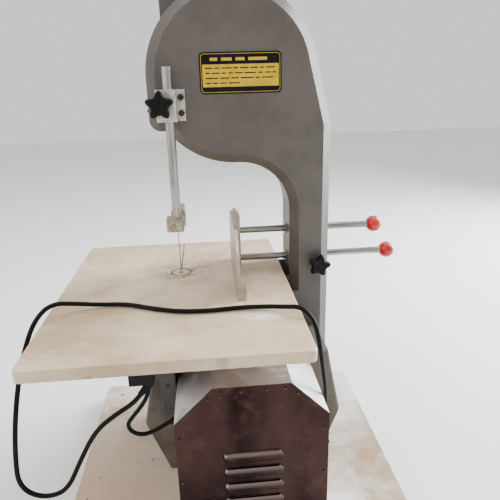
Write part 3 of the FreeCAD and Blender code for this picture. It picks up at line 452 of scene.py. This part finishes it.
def make_studio():
    """A window on the right, a weaker fill on the left, light from above, and a pale floor."""
    area_light("window", (2.0, 0.75, 1.2), target=(0.1, 0.05, 0.5), size=(1.2, 2.2), power=190,
               tint=(0.92, 0.96, 1.0))
    area_light("fill", (-1.9, -0.9, 1.5), target=(0, 0, 0.4), size=(1.6, 1.6), power=20,
               tint=(1.0, 0.96, 0.9))
    area_light("sky", (0.0, 0.3, 2.5), target=(0, 0, 0.3), size=(2.2, 2.2), power=34,
               tint=(1.0, 0.99, 0.97))
    world = bpy.data.worlds.new("world")
    world.use_nodes = True
    backdrop = world.node_tree.nodes["Background"]
    backdrop.inputs["Color"].default_value = (1.0, 1.0, 1.0, 1.0)
    backdrop.inputs["Strength"].default_value = 1.0
    bpy.context.scene.world = world
    data = bpy.data.meshes.new("floor")
    reach = 6.0
    data.from_pydata([(-reach, -reach, 0), (reach, -reach, 0), (reach, reach, 0),
                      (-reach, reach, 0)], [], [(0, 1, 2, 3)])
    floor = bpy.data.objects.new("floor", data)
    bpy.context.scene.collection.objects.link(floor)
    surface = Surface("studio_floor", roughness=0.9, specular=0.1)
    surface.paint(surface.blend(surface.clouds(3), colour(240, 240, 238), colour(232, 232, 230)))
    data.materials.append(surface.material)


# ---------------------------------------------------------------- cords

LEAD_DIAMETER = 7 * MM
CABLE_DIAMETER = 6.5 * MM
# both routes are in millimetres
LEAD = [
    (-160, -176, 266), (-170, -176, 253), (-198, -178, 237), (-228, -180, 214),
    (-254, -182, 168), (-277, -185, 121), (-303, -187, 111), (-329, -188, 119),
    (-344, -188, 142), (-341, -187, 184), (-336, -180, 232), (-330, -164, 280),
    (-321, -142, 326), (-309, -119, 362), (-288, -99, 380), (-258, -82, 370), (-224, -69, 360),
    (-184, -70, 359), (-146, -91, 359), (-104, -109, 359), (-58, -113, 359), (-14, -108, 359),
    (26, -112, 360), (54, -124, 363), (77, -140, 369), (93, -155, 352), (99, -163, 320),
    (103, -164, 284), (109, -158, 248), (115, -144, 210), (118, -126, 172), (119, -106, 134),
    (128, -90, 96), (141, -68, 62), (148, -32, 42), (150, 12, 36), (147, 58, 36),
    (146, 100, 36), (143, 138, 36), (144, 174, 40), (139, 206, 50), (131, 238, 40),
    (126, 262, 15), (112, 290, 5.5), (82, 306, 5), (50, 312, 7.5),
]
MOTOR_CABLE = [
    (-150, -158, 267), (-153, -158, 251), (-166, -156, 230), (-180, -153, 212),
    (-189, -150, 198), (-184, -147, 181), (-167, -144, 172), (-145, -140, 178),
    (-125, -136, 188),
]


def cord_curve(name, route, diameter, node):
    data = bpy.data.curves.new(name, "CURVE")
    data.dimensions = "3D"
    data.bevel_depth = diameter / 2
    data.bevel_resolution = 5
    data.resolution_u = 12
    data.use_fill_caps = True
    spline = data.splines.new("NURBS")
    spline.points.add(len(route) - 1)
    for point, place in zip(spline.points, route):
        point.co = (*(Vector(place) * MM), 1.0)
    spline.order_u = 3
    spline.use_endpoint_u = True
    return new_piece(name, data, "machine", "cable_black", [node])


def make_cords():
    lead = cord_curve("mains_lead_flex", LEAD, LEAD_DIAMETER, "mains_lead")
    cable = cord_curve("motor_cable_flex", MOTOR_CABLE, CABLE_DIAMETER, "motor_cable")


# ---------------------------------------------------------------- star knobs

STAR_POINTS = 120
STAR_LAYERS = [
    # height share, lobe share, size share
    (0.00, 0.0, 0.50), (0.02, 0.0, 0.55), (0.30, 0.0, 0.60), (0.34, 0.55, 0.80),
    (0.38, 0.9, 0.93), (0.46, 1.0, 0.99), (0.60, 1.0, 1.0), (0.80, 1.0, 0.99),
    (0.90, 1.0, 0.95), (0.96, 0.95, 0.87), (0.99, 0.8, 0.76), (1.00, 0.35, 0.50),
    (0.97, 0.0, 0.36), (0.955, 0.0, 0.30),
]
LOBES = 5
LOBE_SHARPNESS = 1.25
VALLEY_DEPTH = 0.34
THREAD_PITCH = 0.9 * MM
THREAD_ROOT = 0.90
CAP_LAYERS = [
    # size share, height share
    (1.0, 0.93), (0.98, 0.97), (0.9, 0.985), (0.6, 0.995),
]
CAP_SHARE = 0.16


def star_ring(radius, lobe_share, height, phase):
    ring = []
    for i in range(STAR_POINTS):
        angle = 2 * math.pi * i / STAR_POINTS
        wave = (0.5 + 0.5 * math.cos(LOBES * (angle - phase))) ** LOBE_SHARPNESS
        reach = radius * (1 - VALLEY_DEPTH * lobe_share * (1 - wave))
        ring.append((reach * math.cos(angle), reach * math.sin(angle), height))
    return ring


def circle(radius, height, count):
    angles = [2 * math.pi * i / count for i in range(count)]
    return [(radius * math.cos(angle), radius * math.sin(angle), height) for angle in angles]


def star_knob(node, body, size, height, stud_radius, facing, phase=0.3):
    """A moulded five-lobed knob with a steel stud; facing points out of its grip."""
    low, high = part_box(node)
    facing = Vector(facing)
    middle = (low + high) / 2
    reach = max(abs(a * b) for a, b in zip(high - low, facing))
    top = middle + facing * reach / 2
    foot = top - facing * height
    turn = facing.to_track_quat("Z", "Y").to_matrix().to_4x4()
    place = Matrix.Translation(foot) @ turn
    rings = [star_ring(size / 2 * scale, lobe, height * level, phase)
             for level, lobe, scale in STAR_LAYERS]
    grip = smooth(loft(node + "_grip", rings), 60)
    grip.transform(place)
    new_piece(node + "_grip", grip, body, "black_plastic", [node])
    stud_length = reach - height
    count = max(2, int(stud_length / THREAD_PITCH))
    turns = []
    for i in range(2 * count + 1):
        level = -stud_length + stud_length * i / (2 * count)
        turns.append(circle(stud_radius * (1.0 if i % 2 else THREAD_ROOT), level, 24))
    stud = smooth(loft(node + "_stud", turns), 25)
    stud.transform(place)
    new_piece(node + "_stud", stud, body, "zinc")
    cap_rings = [circle(size * CAP_SHARE * scale, height * level, 48)
                 for scale, level in CAP_LAYERS]
    cap = smooth(loft(node + "_cap", cap_rings), 60)
    cap.transform(place)
    new_piece(node + "_cap", cap, body, "black_plastic")


def make_knobs():
    star_knob("guide_lock_knob", "guide_lock", 44 * MM, 19 * MM, 3 * MM, (0, -1, 0))
    star_knob("fence_lock_knob", "fence_lock", 40 * MM, 18 * MM, 4 * MM, (0, -1, 0), 0.1)
    star_knob("tension_knob", "tension_screw", 52 * MM, 22 * MM, 4 * MM, (0, 0, 1))
    star_knob("upper_latch_knob", "top_latch", 42 * MM, 18 * MM, 4 * MM, (0, 1, 0))
    star_knob("lower_latch_knob", "bottom_latch", 42 * MM, 18 * MM, 4 * MM, (0, 1, 0))


# ---------------------------------------------------------------- blade

TOOTH_PITCH = 6.0 * MM
TOOTH_DEPTH = 2.4 * MM
# share of the pitch, share of the depth
TOOTH_SHAPE = ((0.0, 1.0), (0.22, 0.55), (0.5, 0.0), (0.8, 0.9))
# size of the slot strip, partly dried dust and partly painted shade
SLOT_FILL_WIDTH = 2.5 * MM
SLOT_FILL_GAP = 3 * MM


def make_blade():
    """The band again, with a row of hooked teeth along its front edge."""
    low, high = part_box("saw_blade")
    outer = (high.x - low.x) / 2
    top = high.z - outer
    bottom = low.z + outer
    run = top - bottom
    length = 2 * run + 2 * math.pi * (outer - BAND_THICKNESS / 2)
    count = int(length / TOOTH_PITCH)

    def place(s):
        """Middle-line point and outward direction at a distance along the band."""
        radius = outer - BAND_THICKNESS / 2
        half = math.pi * radius
        if s < run:
            return Vector((-radius, 0, bottom + s)), Vector((-1, 0, 0))
        s -= run
        if s < half:
            angle = math.pi - s / radius
            out = Vector((math.cos(angle), 0, math.sin(angle)))
            return Vector((0, 0, top)) + out * radius, out
        s -= half
        if s < run:
            return Vector((radius, 0, top - s)), Vector((1, 0, 0))
        angle = -(s - run) / radius
        out = Vector((math.cos(angle), 0, math.sin(angle)))
        return Vector((0, 0, bottom)) + out * radius, out

    form = bmesh.new()
    sections = []
    for i in range(count):
        for share, depth in TOOTH_SHAPE:
            centre, out = place(length * (i + share) / count)
            front = low.y + TOOTH_DEPTH * depth
            corners = []
            for side, y in ((0.5, front), (0.5, high.y), (-0.5, high.y), (-0.5, front)):
                point = centre + out * side * BAND_THICKNESS
                corners.append(form.verts.new((point.x, y, point.z)))
            sections.append(corners)
    for here, there in zip(sections, sections[1:] + sections[:1]):
        for i in range(4):
            j = (i + 1) % 4
            form.faces.new((here[i], here[j], there[j], there[i]))
    bmesh.ops.recalc_face_normals(form, faces=form.faces)
    data = bpy.data.meshes.new("toothed_band")
    form.to_mesh(data)
    form.free()
    dress(new_piece("toothed_band", data, "machine", "steel", ["saw_blade"]), "blade_steel")


def make_slot_dust_and_shade():
    """A strip in the table's blade slot from the blade to the back edge: partly dried dust, partly
    painted shade standing in for the dark of the open slot.
    """
    blade_low, blade_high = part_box("saw_blade")
    table_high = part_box("table_top")[1]
    middle = blade_low.x + BAND_THICKNESS / 2
    left = middle - SLOT_FILL_WIDTH / 2
    right = middle + SLOT_FILL_WIDTH / 2
    front = blade_high.y + SLOT_FILL_GAP
    back = table_high.y - 0.5 * MM
    rings = [[(left, front, z), (right, front, z), (right, back, z), (left, back, z)]
             for z in (table_high.z - 2 * MM, table_high.z - 0.4 * MM)]
    item = new_piece("slot_dust_and_shade", loft("slot_dust_and_shade", rings), "machine", "cream_enamel")
    dress(item, "residue")


# ---------------------------------------------------------------- name plate

def rounded_rectangle(x0, x1, z0, z1, corner, y):
    points = []
    for cx, cz, start in ((x1 - corner, z1 - corner, 0), (x0 + corner, z1 - corner, 90),
                          (x0 + corner, z0 + corner, 180), (x1 - corner, z0 + corner, 270)):
        for step in range(7):
            angle = math.radians(start + 15 * step)
            points.append((cx + corner * math.cos(angle), y, cz + corner * math.sin(angle)))
    return points


PLATE_LAYER = 0.06 * MM
TITLE_BARS = (0.09, 0.13, 0.11, 0.23)
BAR_ROWS = 4


def tile(name, x0, x1, z0, z1, corner, front, slot):
    """A thin plate with round corners, one layer thick."""
    rings = [rounded_rectangle(x0, x1, z0, z1, corner, front + PLATE_LAYER),
             rounded_rectangle(x0, x1, z0, z1, corner, front)]
    return new_piece(name, loft(name, rings), "machine", slot)


def make_name_plate():
    """Black rim and bands round a yellow field, with plain bars where print would be."""
    low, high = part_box("name_plate")
    fronts = [low.y - level * PLATE_LAYER for level in range(5)]
    wide, tall = high.x - low.x, high.z - low.z
    dress(nodes["name_plate"], "black_plastic")
    inset = 2.2 * MM
    tile("plate_line", low.x + inset, high.x - inset, low.z + inset, high.z - inset, 5.2 * MM,
         fronts[1], "label")
    inset += 0.7 * MM
    tile("plate_field_rim", low.x + inset, high.x - inset, low.z + inset, high.z - inset,
         4.6 * MM, fronts[2], "black_plastic")
    field_low = low.z + 0.17 * tall
    field_high = low.z + 0.71 * tall
    edge = inset + 1.6 * MM
    tile("plate_field", low.x + edge, high.x - edge, field_low, field_high, 1.2 * MM,
         fronts[3], "label")
    left = low.x + 0.07 * wide
    title_z = low.z + 0.83 * tall
    title_half = 2.3 * MM
    title_space = 0.045
    cursor = left + 0.06 * wide
    for share in TITLE_BARS:
        tile("plate_title_bar", cursor, cursor + share * wide, title_z - title_half,
             title_z + title_half, 0.6 * MM, fronts[3], "label")
        cursor += (share + title_space) * wide
    bar_half = 0.9 * MM
    bar_space = 0.022 * wide
    row_pitch = (field_high - field_low) / (BAR_ROWS + 0.5)
    for row in range(BAR_ROWS):
        z = field_high - (row + 0.75) * row_pitch
        cursor = left
        limit = low.x + (0.93 if row < BAR_ROWS - 1 else 0.5) * wide
        while cursor < limit:
            length = random.uniform(0.05, 0.16) * wide
            end = min(cursor + length, limit)
            tile("plate_small_bar", cursor, end, z - bar_half, z + bar_half, 0.3 * MM,
                 fronts[4], "black_plastic")
            cursor = end + bar_space


# ---------------------------------------------------------------- build

make_camera()
make_cords()
make_studio()
dress_nodes()
make_knobs()
make_blade()
make_slot_dust_and_shade()
make_name_plate()
